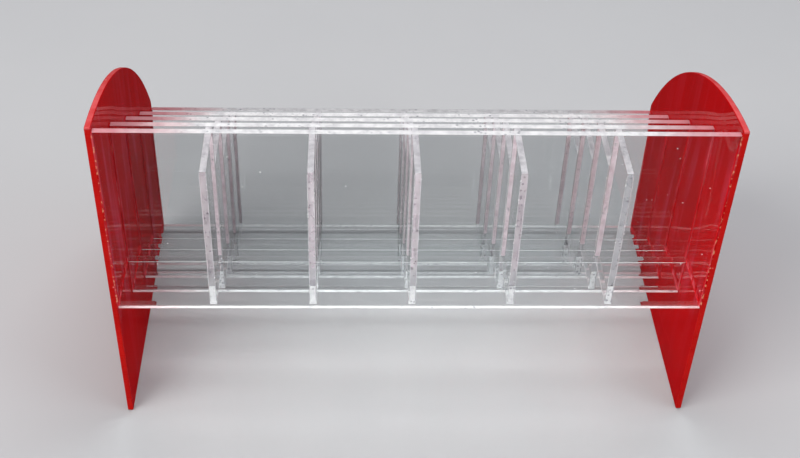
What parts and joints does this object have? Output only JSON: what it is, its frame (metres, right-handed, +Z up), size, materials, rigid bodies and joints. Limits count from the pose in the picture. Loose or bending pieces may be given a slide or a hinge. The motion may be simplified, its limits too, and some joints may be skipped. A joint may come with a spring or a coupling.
{
  "type": "chip rack",
  "caption": "Stepped open-topped rack for gaming chips: clear sheet cells in descending tiers between two red round-topped end panels.",
  "frame": {"origin": "centre of the bounding box in plan, on the surface the rack stands on", "axes": "+X along the rack towards the right end panel seen from its tall side, -Y towards that tall side, tiers step down towards +Y, +Z up"},
  "size_m": [0.3488, 0.1814, 0.2166],
  "materials": {
    "red_acrylic": "opaque, glossy faces with polished edges",
    "clear_acrylic": "transparent, glossy faces with saw-cut edges"
  },
  "bodies": {
    "root": {"end_panel_left": "red_acrylic", "end_panel_right": "red_acrylic", "tier_wall_1": "clear_acrylic", "tier_wall_2": "clear_acrylic", "tier_wall_3": "clear_acrylic", "tier_wall_4": "clear_acrylic", "tier_wall_5": "clear_acrylic", "tier_floor_1": "clear_acrylic", "tier_floor_2": "clear_acrylic", "tier_floor_3": "clear_acrylic", "tier_floor_4": "clear_acrylic", "divider_1_1": "clear_acrylic", "divider_1_2": "clear_acrylic", "divider_1_3": "clear_acrylic", "divider_1_4": "clear_acrylic", "divider_1_5": "clear_acrylic", "divider_2_1": "clear_acrylic", "divider_2_2": "clear_acrylic", "divider_2_3": "clear_acrylic", "divider_2_4": "clear_acrylic", "divider_2_5": "clear_acrylic", "divider_3_1": "clear_acrylic", "divider_3_2": "clear_acrylic", "divider_3_3": "clear_acrylic", "divider_3_4": "clear_acrylic", "divider_3_5": "clear_acrylic", "divider_4_1": "clear_acrylic", "divider_4_2": "clear_acrylic", "divider_4_3": "clear_acrylic", "divider_4_4": "clear_acrylic", "divider_4_5": "clear_acrylic"}
  },
  "joints": []
}
